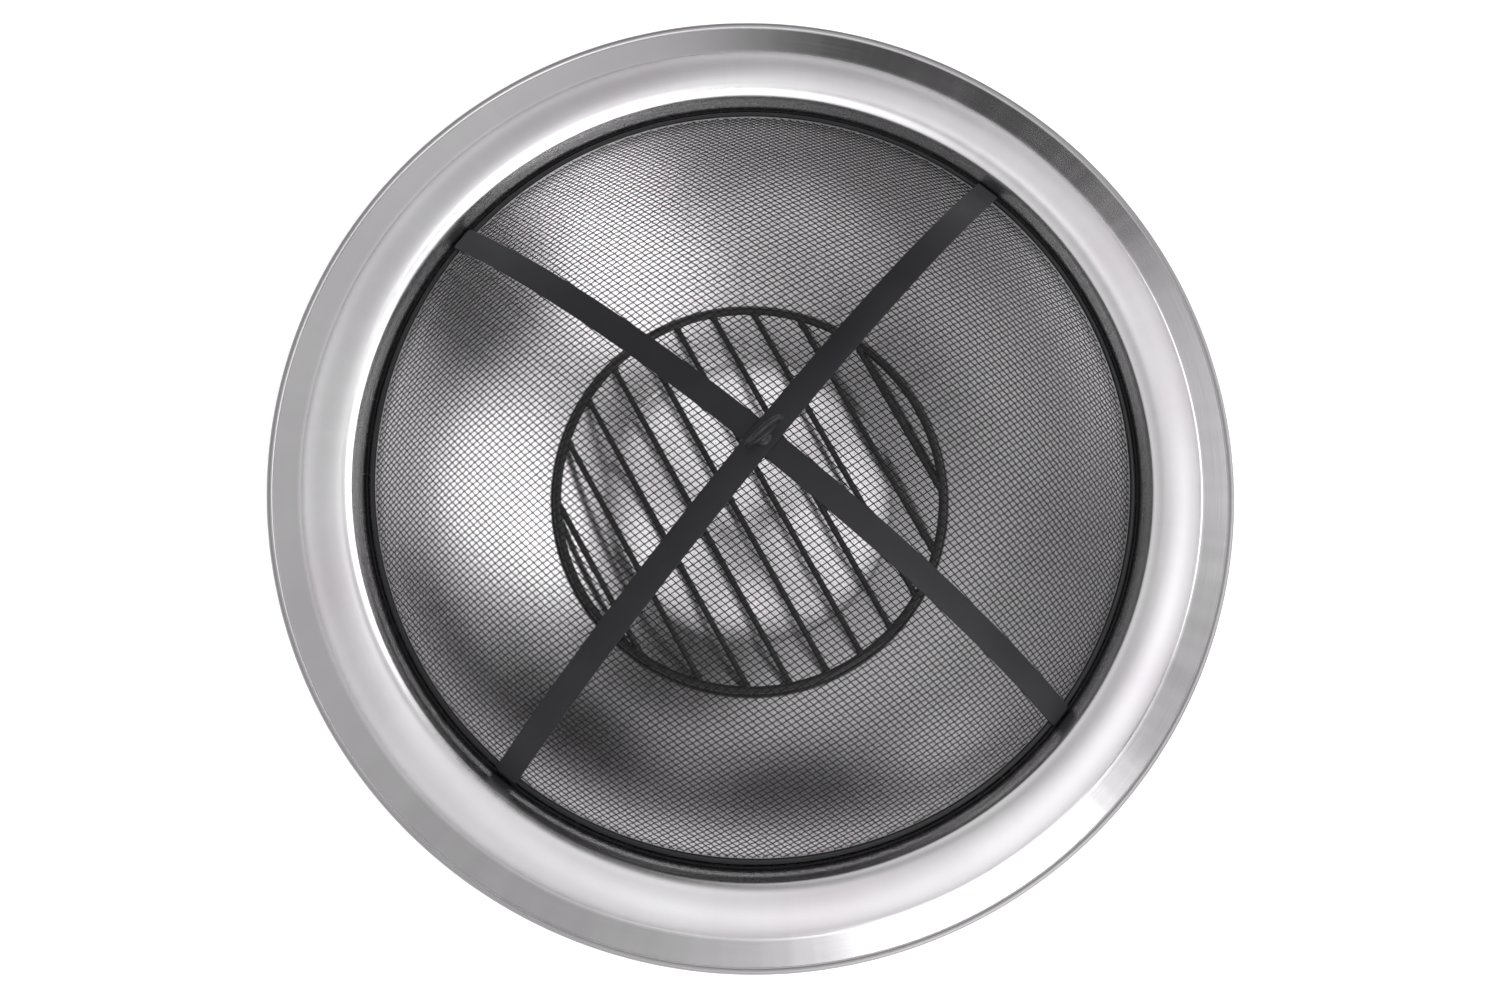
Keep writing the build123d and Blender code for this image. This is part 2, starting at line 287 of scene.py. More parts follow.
def spun_grain_group():
    """Bare metal whose grain runs around the Z axis, with faint spokes, smudges and stray scratches."""
    t = Tree("spun_grain", "ShaderNodeTree", [
        ("Colour", "Color"), ("Smudge Colour", "Color"), ("Roughness", "Float"), ("Rings", "Float"),
        ("Grain", "Float"), ("Spokes", "Float"), ("Smudges", "Float")], FINISH_OUTPUTS)
    m = t.math
    here = t.add("ShaderNodeTexCoord", output="Object")
    x, y, z = t.node("ShaderNodeSeparateXYZ", {0: here}).outputs
    radius = m("SQRT", m("ADD", m("MULTIPLY_ADD", x, x, 1e-8), m("MULTIPLY", y, y)))
    east, north = m("DIVIDE", x, radius), m("DIVIDE", y, radius)
    ring = m("MULTIPLY", radius, t["Rings"])
    level = m("MULTIPLY", z, t["Rings"])
    grain = t.noise(t.vector(m("MULTIPLY", east, 7.0), m("MULTIPLY", north, 7.0), ring), 1.0, 4.0, level)
    slow_ring, slow_level = m("MULTIPLY", ring, 0.12), m("MULTIPLY", level, 0.12)
    coarse = t.noise(t.vector(m("MULTIPLY", east, 1.5), m("MULTIPLY", north, 1.5), slow_ring),
                     1.0, 2.0, slow_level)
    spokes = t.noise(t.vector(m("MULTIPLY", east, 26.0), m("MULTIPLY", north, 26.0),
                              m("MULTIPLY", radius, 5.0)), 1.0, 5.0)
    smudge = t.noise(here, 11.0, 4.0)
    blot = t.noise(here, 55.0, 3.0)
    scratch = t.noise(t.vector(m("MULTIPLY", x, 7.0), m("MULTIPLY", y, 700.0), m("MULTIPLY", z, 30.0)),
                      1.0, 0.0)
    scratch = m("MAXIMUM", m("MULTIPLY_ADD", scratch, 12.0, -5.6), 0.0)
    scratch = m("MINIMUM", scratch, 1.0)
    rough = m("MULTIPLY_ADD", grain, t["Grain"], t["Roughness"])
    rough = m("MULTIPLY_ADD", spokes, t["Spokes"], rough)
    rough = m("MULTIPLY_ADD", m("ADD", smudge, m("MULTIPLY", blot, 0.5)), t["Smudges"], rough)
    rough = m("MULTIPLY_ADD", scratch, 0.03, rough)
    t.put("Roughness", m("MINIMUM", m("MAXIMUM", rough, 0.05), 0.9))
    shade = m("MULTIPLY_ADD", grain, m("MULTIPLY", t["Grain"], 0.8), 1.0)
    shade = m("MULTIPLY_ADD", spokes, m("MULTIPLY", t["Spokes"], 0.9), shade)
    shade = m("MULTIPLY_ADD", scratch, -0.04, shade)
    mix = m("MINIMUM", m("MAXIMUM", m("MULTIPLY_ADD", smudge, 3.0, 0.4), 0.0), 1.0)
    colour = t.add("ShaderNodeMix", {"Factor": mix, 6: t["Colour"], 7: t["Smudge Colour"]}, output=2,
                   data_type="RGBA")
    t.put("Base Color", t.add("ShaderNodeVectorMath", {0: colour, 1: t.vector(shade, shade, shade)},
                              operation="MULTIPLY"))
    t.put("Height", m("ADD", m("ADD", grain, m("MULTIPLY", coarse, 2.0)), m("MULTIPLY", scratch, -0.15)))
    return t.group


def coating_group():
    """Sprayed or moulded surface: fine peel, pale dust in patches and rubbed, glossier spots."""
    t = Tree("coating", "ShaderNodeTree", [
        ("Colour", "Color"), ("Dust Colour", "Color"), ("Roughness", "Float"), ("Peel", "Float"),
        ("Dust", "Float"), ("Rub", "Float")], FINISH_OUTPUTS)
    m = t.math
    here = t.add("ShaderNodeTexCoord", output="Object")
    peel = t.noise(here, t["Peel"], 2.0)
    patch = t.noise(here, 24.0, 4.0)
    speck = t.noise(here, m("MULTIPLY", t["Peel"], 2.4), 2.0)
    cover = m("MULTIPLY_ADD", patch, 3.0, m("MULTIPLY", speck, 2.0))
    cover = m("MULTIPLY", m("MINIMUM", m("MAXIMUM", cover, 0.0), 1.0), t["Dust"])
    t.put("Base Color", t.add("ShaderNodeMix", {"Factor": cover, 6: t["Colour"], 7: t["Dust Colour"]},
                              output=2, data_type="RGBA"))
    rough = m("MULTIPLY_ADD", patch, t["Rub"], t["Roughness"])
    t.put("Roughness", m("MINIMUM", m("MAXIMUM", m("MULTIPLY_ADD", cover, 0.3, rough), 0.08), 1.0))
    t.put("Height", m("ADD", peel, m("MULTIPLY", speck, 0.3)))
    return t.group


def material_from(name, group, values, bump, metallic, **shader_values):
    """Material that takes its colour, roughness and bump from a group; bump is strength, distance."""
    material = bpy.data.materials.new(name)
    material.use_nodes = True
    nodes, links = material.node_tree.nodes, material.node_tree.links
    shader = nodes["Principled BSDF"]
    source = nodes.new("ShaderNodeGroup")
    source.node_tree = group
    for label, value in values.items():
        source.inputs[label].default_value = value
    relief = nodes.new("ShaderNodeBump")
    relief.inputs["Strength"].default_value = bump[0]
    relief.inputs["Distance"].default_value = bump[1]
    links.new(source.outputs["Base Color"], shader.inputs["Base Color"])
    links.new(source.outputs["Roughness"], shader.inputs["Roughness"])
    links.new(source.outputs["Height"], relief.inputs["Height"])
    links.new(relief.outputs["Normal"], shader.inputs["Normal"])
    shader.inputs["Metallic"].default_value = metallic
    for label, value in shader_values.items():
        shader.inputs[label.replace("_", " ")].default_value = value
    return material


def spin_tangent(material):
    """Stretch the highlights across a grain that runs around the Z axis."""
    nodes, links = material.node_tree.nodes, material.node_tree.links
    tangent = nodes.new("ShaderNodeTangent")
    tangent.direction_type = "RADIAL"
    tangent.axis = "Z"
    links.new(tangent.outputs["Tangent"], nodes["Principled BSDF"].inputs["Tangent"])
    return material


SPUN_GRAIN = spun_grain_group()
COATING = coating_group()
STEEL_BUMP = (0.05, 0.2 * MM)    # strength, depth


def steel(name, colour, smudge_colour, roughness, rings, grain, spokes, smudges, anisotropy):
    """Bare steel; rings is how many grain rings there are to a metre."""
    values = {"Colour": (*colour, 1.0), "Smudge Colour": (*smudge_colour, 1.0), "Roughness": roughness,
              "Rings": rings, "Grain": grain, "Spokes": spokes, "Smudges": smudges}
    material = material_from(name, SPUN_GRAIN, values, STEEL_BUMP, 1.0, Anisotropic=anisotropy)
    return spin_tangent(material)


def coat(name, colour, dust_colour, roughness, peel, dust, rub, bump, **shader_values):
    """Coating, rubber or floor; peel is how fine the peel is, bump its strength and depth."""
    values = {"Colour": (*colour, 1.0), "Dust Colour": (*dust_colour, 1.0), "Roughness": roughness,
              "Peel": peel, "Dust": dust, "Rub": rub}
    return material_from(name, COATING, values, bump, 0.0, **shader_values)


def ring_band(material, start, end, fade, extra_roughness, painted_light_tint):
    """Add to a metal's roughness and multiply its colour between two radii about the Z axis; the colour
    factor is painted light above 1 and painted shade below 1.
    """
    nodes, links = material.node_tree.nodes, material.node_tree.links
    shader = nodes["Principled BSDF"]
    here = nodes.new("ShaderNodeTexCoord")
    flat = nodes.new("ShaderNodeVectorMath")
    flat.operation = "MULTIPLY"
    flat.inputs[1].default_value = (1.0, 1.0, 0.0)
    radius = nodes.new("ShaderNodeVectorMath")
    radius.operation = "LENGTH"
    links.new(here.outputs["Object"], flat.inputs[0])
    links.new(flat.outputs["Vector"], radius.inputs[0])
    share = nodes.new("ShaderNodeMath")
    share.operation = "SUBTRACT"
    for edge, side in ((start, 0), (end, 1)):
        rise = nodes.new("ShaderNodeMapRange")
        rise.interpolation_type = "SMOOTHSTEP"
        rise.inputs["From Min"].default_value = edge - fade[side]
        rise.inputs["From Max"].default_value = edge + fade[side]
        links.new(radius.outputs["Value"], rise.inputs["Value"])
        links.new(rise.outputs["Result"], share.inputs[side])
    rough = nodes.new("ShaderNodeMath")
    rough.operation = "MULTIPLY_ADD"
    rough.inputs[1].default_value = extra_roughness
    links.new(share.outputs[0], rough.inputs[0])
    links.new(shader.inputs["Roughness"].links[0].from_socket, rough.inputs[2])
    links.new(rough.outputs[0], shader.inputs["Roughness"])
    # Painted light and shade: the band's colour is multiplied by the tint.
    shade = nodes.new("ShaderNodeMix")
    shade.data_type = "RGBA"
    shade.blend_type = "MULTIPLY"
    shade.inputs[7].default_value = (painted_light_tint, painted_light_tint, painted_light_tint, 1.0)
    links.new(share.outputs[0], shade.inputs["Factor"])
    links.new(shader.inputs["Base Color"].links[0].from_socket, shade.inputs[6])
    links.new(shade.outputs[2], shader.inputs["Base Color"])
    return material


# brighter than real stainless steel, to make up for the light that the mesh takes
BOWL_STEEL = steel("bowl_steel", (0.85, 0.84, 0.85), (0.81, 0.78, 0.81), roughness=0.22,
                   rings=900.0, grain=0.06, spokes=0.08, smudges=0.03, anisotropy=0.7)
# Bands of the bowl: start and end radius, half width of the fade at each, added roughness, and the tint,
# a colour factor that is painted light above 1 and painted shade below 1.
# DARK_WALL stands in for a dark reflection that the sky below doesn't give under the screen's edge.
# The crown's satin finish is real roughness; its colour raised by 1.02 is painted light.
SATIN_CROWN_PAINTED_LIGHT = (243.0 * MM, 268.5 * MM, (4.5 * MM, 1.5 * MM), 0.50, 1.02)
# The flange's smoother polish is real roughness; its colour darkened to 0.88 is painted shade.
POLISHED_FLANGE_PAINTED_SHADE = (271.0 * MM, 286.4 * MM, (1.0 * MM, 0.7 * MM), -0.05, 0.88)
# The hem's duller finish is real roughness; its colour darkened to 0.47 is a painted dark reflection.
DULL_HEM_PAINTED_REFLECTION = (286.4 * MM, 295.0 * MM, (0.7 * MM, 1.0 * MM), 0.20, 0.47)
DARK_WALL = (224.0 * MM, 235.2 * MM, (3.0 * MM, 2.4 * MM), 0.05, 0.57)
for band in (SATIN_CROWN_PAINTED_LIGHT, POLISHED_FLANGE_PAINTED_SHADE, DULL_HEM_PAINTED_REFLECTION, DARK_WALL):
    ring_band(BOWL_STEEL, *band)
SKIRT_STEEL = steel("pedestal_steel", (0.47, 0.47, 0.48), (0.40, 0.40, 0.41), roughness=0.36,
                    rings=1100.0, grain=0.12, spokes=0.04, smudges=0.1, anisotropy=0.5)
WIRE_STEEL = steel("drawn_wire", (0.50, 0.50, 0.51), (0.42, 0.42, 0.42), roughness=0.32,
                   rings=1600.0, grain=0.12, spokes=0.05, smudges=0.1, anisotropy=0.3)
PLATE_STEEL = steel("bracket_plate", (0.58, 0.58, 0.59), (0.47, 0.47, 0.47), roughness=0.38,
                    rings=1300.0, grain=0.16, spokes=0.05, smudges=0.14, anisotropy=0.3)
TURNED_STEEL = steel("turned_fasteners", (0.70, 0.70, 0.71), (0.6, 0.6, 0.6), roughness=0.26,
                     rings=2600.0, grain=0.14, spokes=0.06, smudges=0.08, anisotropy=0.2)
STRAP_COAT = coat("strap_coat", (0.012, 0.012, 0.016), (0.05, 0.05, 0.055), 0.46, 1500.0, 0.2, 0.2,
                  (0.2, 0.0002), Specular_IOR_Level=0.3)
HOOP_COAT = coat("hoop_coat", (0.014, 0.014, 0.016), (0.05, 0.05, 0.05), 0.38, 2200.0, 0.2, 0.2,
                 (0.2, 0.0002), Specular_IOR_Level=0.35)
MESH_COAT = coat("mesh_coat", (0.008, 0.008, 0.009), (0.04, 0.04, 0.04), 0.5, 2600.0, 0.15, 0.2,
                 (0.2, 0.0001), Specular_IOR_Level=0.2)
GRATE_COAT = coat("grate_coat", (0.015, 0.015, 0.016), (0.09, 0.085, 0.08), 0.32, 1800.0, 0.25, 0.25,
                  (0.25, 0.0002))
WELD_COAT = coat("weld_coat", (0.018, 0.018, 0.019), (0.09, 0.085, 0.08), 0.42, 900.0, 0.3, 0.25,
                 (0.6, 0.0004))
FOOT_COAT = coat("foot_ring_coat", (0.028, 0.028, 0.030), (0.12, 0.11, 0.10), 0.48, 1300.0, 0.35, 0.2,
                 (0.3, 0.0003))
PAD_RUBBER = coat("pad_rubber", (0.020, 0.020, 0.020), (0.10, 0.10, 0.095), 0.82, 700.0, 0.4, 0.1,
                  (0.4, 0.0004))


# ---- bowl ---------------------------------------------------------------------------------------
def bowl_outline():
    """Closed outline of the bowl's sheet, from the middle of its floor outwards and back below."""
    floor_slope = asin(FLOOR_RADIUS / WALL_RADIUS)
    inside, outside = (CREST_RADIUS, CREST_Z - CROWN_INSIDE), (CREST_RADIUS, CREST_Z - CROWN_OUTSIDE)
    hem = (RIM_RADIUS - HEM_RADIUS, RIM_Z)
    top = [(FLOOR_RADIUS * i / 4, FLOOR_Z) for i in range(4)]
    wall = arc((0.0, WALL_Z), WALL_RADIUS, pi - floor_slope, pi - CROWN_INNER_SLOPE, 40)
    crown = arc(inside, CROWN_INSIDE, -CROWN_INNER_SLOPE, 0.0, 16)[1:]
    crown += arc(outside, CROWN_OUTSIDE, 0.0, CROWN_OUTER_SLOPE, 14)[1:]
    bead = arc(hem, HEM_RADIUS, radians(-65.0), radians(230.0), 18)
    crease, edge = Vector(crown[-1]), Vector(bead[0])
    flange = [tuple(crease.lerp(edge, i / 4)) for i in range(1, 4)]
    under = arc(outside, CROWN_OUTSIDE - SHEET, CROWN_OUTER_SLOPE, 0.0, 10)
    under += arc(inside, CROWN_INSIDE - SHEET, 0.0, -CROWN_INNER_SLOPE, 12)[1:]
    under += arc((0.0, WALL_Z), WALL_RADIUS + SHEET, pi - CROWN_INNER_SLOPE, pi - floor_slope, 30)[1:]
    return top + wall + crown + flange + bead + under + [(0.0, FLOOR_Z - SHEET)]


bowl = place("bowl", lathe_mesh("bowl", bowl_outline()), BOWL_STEEL)
finish(bowl, "root", "stainless_brushed", "fire_bowl")


# ---- things made of geometry nodes --------------------------------------------------------------
def run_tree(name, tree, values, sharp=30.0):
    """Evaluate a tree once with these inputs and keep the result as a plain mesh."""
    carrier = bpy.data.objects.new(name + "_carrier", bpy.data.meshes.new(name + "_carrier"))
    bpy.context.scene.collection.objects.link(carrier)
    modifier = carrier.modifiers.new("make", "NODES")
    modifier.node_group = tree.group
    for label, value in values.items():
        modifier[tree.ids[label]] = value
    evaluated = carrier.evaluated_get(bpy.context.evaluated_depsgraph_get())
    mesh = bpy.data.meshes.new_from_object(evaluated)
    mesh.name = name
    carrier.modifiers.clear()
    bpy.data.objects.remove(carrier)
    mesh.shade_smooth()
    mesh.set_sharp_from_angle(angle=radians(sharp))
    return mesh


def polar_copies_tree():
    """Copies of one piece turned about the Z axis."""
    t = Tree("polar_copies", "GeometryNodeTree", [
        ("Piece", "Object"), ("Count", "Int"), ("First Angle", "Float"), ("Material", "Material")],
        [("Geometry", "Geometry")])
    points = t.add("GeometryNodeMeshLine", {"Count": t["Count"], "Offset": (0.0, 0.0, 0.0)})
    step = t.math("DIVIDE", 2 * pi, t["Count"])
    turn = t.math("MULTIPLY_ADD", t.add("GeometryNodeInputIndex"), step, t["First Angle"])
    piece = t.add("GeometryNodeObjectInfo", {"Object": t["Piece"]}, output="Geometry")
    copies = t.add("GeometryNodeInstanceOnPoints", {
        "Points": points, "Instance": piece, "Rotation": t.vector(z=turn)})
    t.finish(copies, t["Material"])
    return t


POLAR_COPIES = polar_copies_tree()


def around_axis(name, mesh, count, first_angle, material):
    """Copies of a mesh around the Z axis, as one object."""
    pattern = place(name + "_pattern", mesh, material)
    result = run_tree(name, POLAR_COPIES, {
        "Piece": pattern, "Count": count, "First Angle": first_angle, "Material": material})
    bpy.data.objects.remove(pattern)
    return place(name, result, material)


def woven_wires_tree():
    """Parallel wires of one direction, woven over and under the other, laid over a dome."""
    t = Tree("woven_wires", "GeometryNodeTree", [
        ("Half Count", "Int"), ("Spacing", "Float"), ("Direction", "Float"),
        ("Crossing Direction", "Float"), ("Dome Radius", "Float"), ("Dome Centre", "Float"),
        ("Reach", "Float"), ("Weave", "Float"), ("Wire Radius", "Float"), ("Sides", "Int"),
        ("Material", "Material")], [("Geometry", "Geometry")])
    m = t.math
    extent = m("MULTIPLY", t["Half Count"], t["Spacing"])
    count = m("MULTIPLY_ADD", t["Half Count"], 2.0, 1.0)
    start = t.vector(m("MULTIPLY", extent, -1.0))
    line = t.add("GeometryNodeCurvePrimitiveLine", {"Start": start, "End": t.vector(extent)})
    line = t.add("GeometryNodeResampleCurve", {"Curve": line, "Count": count})
    across = t.add("GeometryNodeMeshLine", {
        "Count": count, "Start Location": t.vector(y=m("MULTIPLY", extent, -1.0)),
        "Offset": t.vector(y=t["Spacing"])})
    wires = t.add("GeometryNodeInstanceOnPoints", {"Points": across, "Instance": line})
    wires = t.add("GeometryNodeRealizeInstances", {"Geometry": wires})

    a, b, _ = t.node("ShaderNodeSeparateXYZ", {0: t.add("GeometryNodeInputPosition")}).outputs
    turn = m("SUBTRACT", t["Crossing Direction"], t["Direction"])
    middle = m("MULTIPLY", m("MULTIPLY", b, m("COSINE", turn)), -1.0)
    offset = m("MULTIPLY", b, m("SINE", turn))
    square = m("SUBTRACT", m("MULTIPLY", t["Reach"], t["Reach"]), m("MULTIPLY", offset, offset))
    half_chord = m("SQRT", m("MAXIMUM", square, 0.0))
    from_middle = m("ABSOLUTE", m("SUBTRACT", a, middle))
    beyond = m("GREATER_THAN", from_middle, m("ADD", half_chord, t["Spacing"]))
    outside = m("MAXIMUM", beyond, m("LESS_THAN", square, 1e-9))
    parity = m("COSINE", m("MULTIPLY", m("DIVIDE", m("ADD", a, b), t["Spacing"]), pi))
    held = m("MAXIMUM", a, m("SUBTRACT", middle, half_chord))
    held = m("MINIMUM", held, m("ADD", middle, half_chord))
    x = m("ADD", m("MULTIPLY", held, m("COSINE", t["Direction"])),
          m("MULTIPLY", b, m("COSINE", t["Crossing Direction"])))
    y = m("ADD", m("MULTIPLY", held, m("SINE", t["Direction"])),
          m("MULTIPLY", b, m("SINE", t["Crossing Direction"])))
    distance = m("SQRT", m("ADD", m("ADD", m("MULTIPLY", x, x), m("MULTIPLY", y, y)), 1e-12))
    slope = m("DIVIDE", distance, t["Dome Radius"])
    radius = m("ADD", t["Dome Radius"], m("MULTIPLY", parity, t["Weave"]))
    out = m("DIVIDE", m("MULTIPLY", radius, m("SINE", slope)), distance)
    height = m("ADD", t["Dome Centre"], m("MULTIPLY", radius, m("COSINE", slope)))
    capture = t.node("GeometryNodeCaptureAttribute", {"Geometry": wires})
    capture.capture_items.new("FLOAT", "Outside")
    capture.capture_items.new("VECTOR", "Place")
    spot = t.vector(m("MULTIPLY", x, out), m("MULTIPLY", y, out), height)
    t.group.links.new(outside, capture.inputs["Outside"])
    t.group.links.new(spot, capture.inputs["Place"])
    wires = t.add("GeometryNodeSetPosition", {
        "Geometry": capture.outputs["Geometry"], "Position": capture.outputs["Place"]})
    dropped = m("GREATER_THAN", capture.outputs["Outside"], 0.5)
    wires = t.add("GeometryNodeDeleteGeometry", {
        "Geometry": wires, "Selection": dropped}, domain="POINT")
    tubes = t.tubes(wires)
    t.finish(tubes, t["Material"])
    return t


def woven_mesh():
    """The spark screen's two families of wires."""
    tree = woven_wires_tree()
    rim_radius = high("spark_mesh").x - 2 * MESH_WIRE
    rise = MESH_APEX - low("spark_mesh").z
    dome = (rim_radius**2 + rise**2) / (2 * rise)
    reach = dome * asin(rim_radius / dome)
    shear = abs(sin(WEFT_DIRECTION - WARP_DIRECTION))
    spacing = MESH_PITCH / shear
    half_count = ceil(reach / shear / spacing) + 1
    for name, along, over, weave, nodes in (
        ("mesh_warp", WARP_DIRECTION, WEFT_DIRECTION, MESH_WIRE, ["spark_mesh"]),
        ("mesh_weft", WEFT_DIRECTION, WARP_DIRECTION, -MESH_WIRE, []),
    ):
        wires = run_tree(name, tree, {
            "Half Count": half_count, "Spacing": spacing, "Direction": along,
            "Crossing Direction": over, "Dome Radius": dome, "Dome Centre": MESH_APEX - dome,
            "Reach": reach, "Weave": weave,
            "Wire Radius": MESH_WIRE, "Sides": 5, "Material": MESH_COAT}, 80.0)
        finish(place(name, wires, MESH_COAT), "lid", "black_mesh", *nodes)


woven_mesh()


# ---- spark screen -------------------------------------------------------------------------------
def ring_mesh(name, node, segments, sides):
    """Round wire ring about the Z axis that fills a CAD node's box."""
    wire = (high(node).z - low(node).z) / 2
    outline = arc((high(node).x - wire, low(node).z + wire), wire, 0.0, 2 * pi, sides)[:-1]
    return lathe_mesh(name, outline, segments, 60.0)


for node in ("hoop_outer", "hoop_inner"):
    hoop = place(node + "_wire", ring_mesh(node + "_wire", node, ROUND, 14), HOOP_COAT)
    finish(hoop, "lid", "black_coat", node)


def strap_section(half_width):
    """Rounded cross-section of a strap as (across, up) points."""
    corners = ((half_width, STRAP_SHEET, 0.0), (half_width, 0.0, 90.0),
               (-half_width, 0.0, 180.0), (-half_width, STRAP_SHEET, 270.0))
    points = []
    for x, y, turn in corners:
        centre = (x - STRAP_EDGE if x > 0 else x + STRAP_EDGE,
                  y - STRAP_EDGE if y > 0 else y + STRAP_EDGE)
        points += arc(centre, STRAP_EDGE, radians(turn), radians(turn + 90.0), 4)
    return points


def strap(node, along, across):
    """Flat bar bent over the dome, with rounded edges and ends."""
    rise = high(node).z - STRAP_SHEET - low(node).z
    reach = max(high(node).x, high(node).y)
    end = 0.0
    for _ in range(12):
        end = 2 * atan2(rise, reach - STRAP_SHEET * sin(end))
    radius = rise / (1 - cos(end))
    corner = STRAP_CORNER / radius
    slopes = [-end + corner * (1 - cos(pi / 2 * i / 6)) for i in range(6)]
    slopes += [-end + corner + (end - corner) * i / 60 for i in range(61)]
    slopes += [-s for s in slopes[-2::-1]]
    sections = []
    for slope in slopes:
        into = max(0.0, 1 - (end - abs(slope)) / corner)
        narrowing = STRAP_CORNER * (1 - sqrt(max(0.0, 1 - into**2)))
        section = []
        for side, up in strap_section(STRAP_WIDTH / 2 - narrowing):
            out = (radius + up) * sin(slope)
            z = high(node).z - STRAP_SHEET - radius + (radius + up) * cos(slope)
            section.append(Vector(along) * out + Vector(across) * side + Vector((0, 0, z)))
        sections.append(section)
    piece = place(node + "_bar", bar_mesh(node + "_bar", sections), STRAP_COAT)
    finish(piece, "lid", "black_coat", node)


strap("strap_over", (1, 0, 0), (0, 1, 0))
strap("strap_under", (0, 1, 0), (1, 0, 0))


def bead_mesh(name, centre, radii, segments=20, rings=10):
    """Weld bead: an ellipsoid."""
    outline = [(sin(pi * i / rings), cos(pi * i / rings)) for i in range(rings + 1)]
    mesh = lathe_mesh(name, [(0.0, 1.0), *outline[1:-1], (0.0, -1.0)], segments, 80.0)
    mesh.transform(Matrix.Translation(Vector(centre)) @ Matrix.Diagonal((*radii, 1.0)))
    return mesh


strap_tip = Vector((high("strap_over").x, 0.0, low("strap_over").z))
weld_centre = strap_tip + Vector((-1.7, 0.0, 0.6)) * MM
strap_weld = bead_mesh("strap_welds", weld_centre, (1.3 * MM, 6.2 * MM, 0.9 * MM))
finish(around_axis("strap_welds", strap_weld, 4, 0.0, WELD_COAT), "lid", "black_coat")


def rivet_outline():
    """The rivet from its domed head down to the flat head under the mesh."""
    top, bottom = high("handle_rivet").z, low("handle_rivet").z
    base = top - RIVET_HEAD_HEIGHT
    shoulder = base + 0.4 * MM
    flat_top = bottom + 1.0 * MM
    dome = [(r * RIVET_HEAD, shoulder + z * (top - shoulder))
            for r, z in arc((0.0, 0.0), 1.0, 0.0, pi / 2, 12)]
    return [(0.0, top), *dome[1:], (RIVET_HEAD, base + 0.1 * MM), (RIVET_HEAD - 0.1 * MM, base),
            (RIVET_SHANK, base), (RIVET_SHANK, flat_top), (RIVET_HEAD - 0.2 * MM, flat_top),
            (RIVET_HEAD, flat_top - 0.2 * MM), (RIVET_HEAD - 0.3 * MM, bottom), (0.0, bottom)]


rivet = place("rivet", lathe_mesh("rivet", rivet_outline(), 48), HOOP_COAT)
finish(rivet, "lid", "black_coat", "handle_rivet")


def handle():
    """Upright ring on the rivet, with the weld at its foot."""
    middle_z = (low("handle_ring").z + high("handle_ring").z) / 2
    radius = (high("handle_ring").z - low("handle_ring").z) / 2 - HANDLE_WIRE
    ring = lathe_mesh("handle", arc((radius, 0.0), HANDLE_WIRE, 0.0, 2 * pi, 18)[:-1], 80, 60.0)
    turn = Matrix.Rotation(HANDLE_TURN, 4, "Z")
    ring.transform(Matrix.Translation((0, 0, middle_z)) @ turn @ Matrix.Rotation(pi / 2, 4, "X"))
    finish(place("handle", ring, HOOP_COAT), "lid", "black_coat", "handle_ring")
    weld = bead_mesh("handle_weld", (0, 0, 0), (3.4 * MM, 2.3 * MM, 0.9 * MM))
    weld.transform(Matrix.Translation((0, 0, high("handle_rivet").z)) @ turn)
    finish(place("handle_weld", weld, WELD_COAT), "lid", "black_coat")


handle()


# ---- grate --------------------------------------------------------------------------------------
def grate_bars_tree():
    """Parallel wires across a ring, with a weld bead at both ends of each."""
    t = Tree("grate_bars", "GeometryNodeTree", [
        ("Count", "Int"), ("Pitch", "Float"), ("Direction", "Float"), ("Ring Radius", "Float"),
        ("Height", "Float"), ("Wire Radius", "Float"), ("Sides", "Int"), ("Bead Length", "Float"),
        ("Bead Width", "Float"), ("Beads Only", "Bool"), ("Material", "Material")],
        [("Geometry", "Geometry")])
    m = t.math
    first = m("MULTIPLY_ADD", t["Count"], 0.5, -0.5)
    first = m("MULTIPLY", first, m("MULTIPLY", t["Pitch"], -1.0))
    rows = t.add("GeometryNodeMeshLine", {
        "Count": t["Count"], "Start Location": t.vector(y=first), "Offset": t.vector(y=t["Pitch"])})
    side = t.node("ShaderNodeSeparateXYZ", {0: t.add("GeometryNodeInputPosition")}).outputs[1]
    ring_square = m("MULTIPLY", t["Ring Radius"], t["Ring Radius"])
    half = m("SQRT", m("SUBTRACT", ring_square, m("MULTIPLY", side, side)))
    line = t.add("GeometryNodeCurvePrimitiveLine", {"Start": (-1.0, 0.0, 0.0), "End": (1.0, 0.0, 0.0)})
    wires = t.add("GeometryNodeInstanceOnPoints", {
        "Points": rows, "Instance": line, "Scale": t.vector(half, 1.0, 1.0)})
    wires = t.add("GeometryNodeRealizeInstances", {"Geometry": wires})
    bars = t.tubes(wires)
    ball = t.add("GeometryNodeMeshUVSphere", {"Segments": 18, "Rings": 10, "Radius": 1.0})
    size = t.vector(t["Bead Length"], t["Bead Width"], t["Bead Width"])
    beads = t.node("GeometryNodeJoinGeometry")
    for sign in (1.0, -1.0):
        outwards = t.vector(m("MULTIPLY", half, sign))
        ends = t.add("GeometryNodeSetPosition", {"Geometry": rows, "Offset": outwards})
        placed = t.add("GeometryNodeInstanceOnPoints", {
            "Points": ends, "Instance": ball, "Scale": size})
        t.group.links.new(placed, beads.inputs[0])
    chosen = t.add("GeometryNodeSwitch", {
        "Switch": t["Beads Only"], "False": bars, "True": beads.outputs[0]}, input_type="GEOMETRY")
    turned = t.add("GeometryNodeTransform", {
        "Geometry": chosen, "Translation": t.vector(z=t["Height"]),
        "Rotation": t.vector(z=t["Direction"])})
    t.finish(turned, t["Material"])
    return t


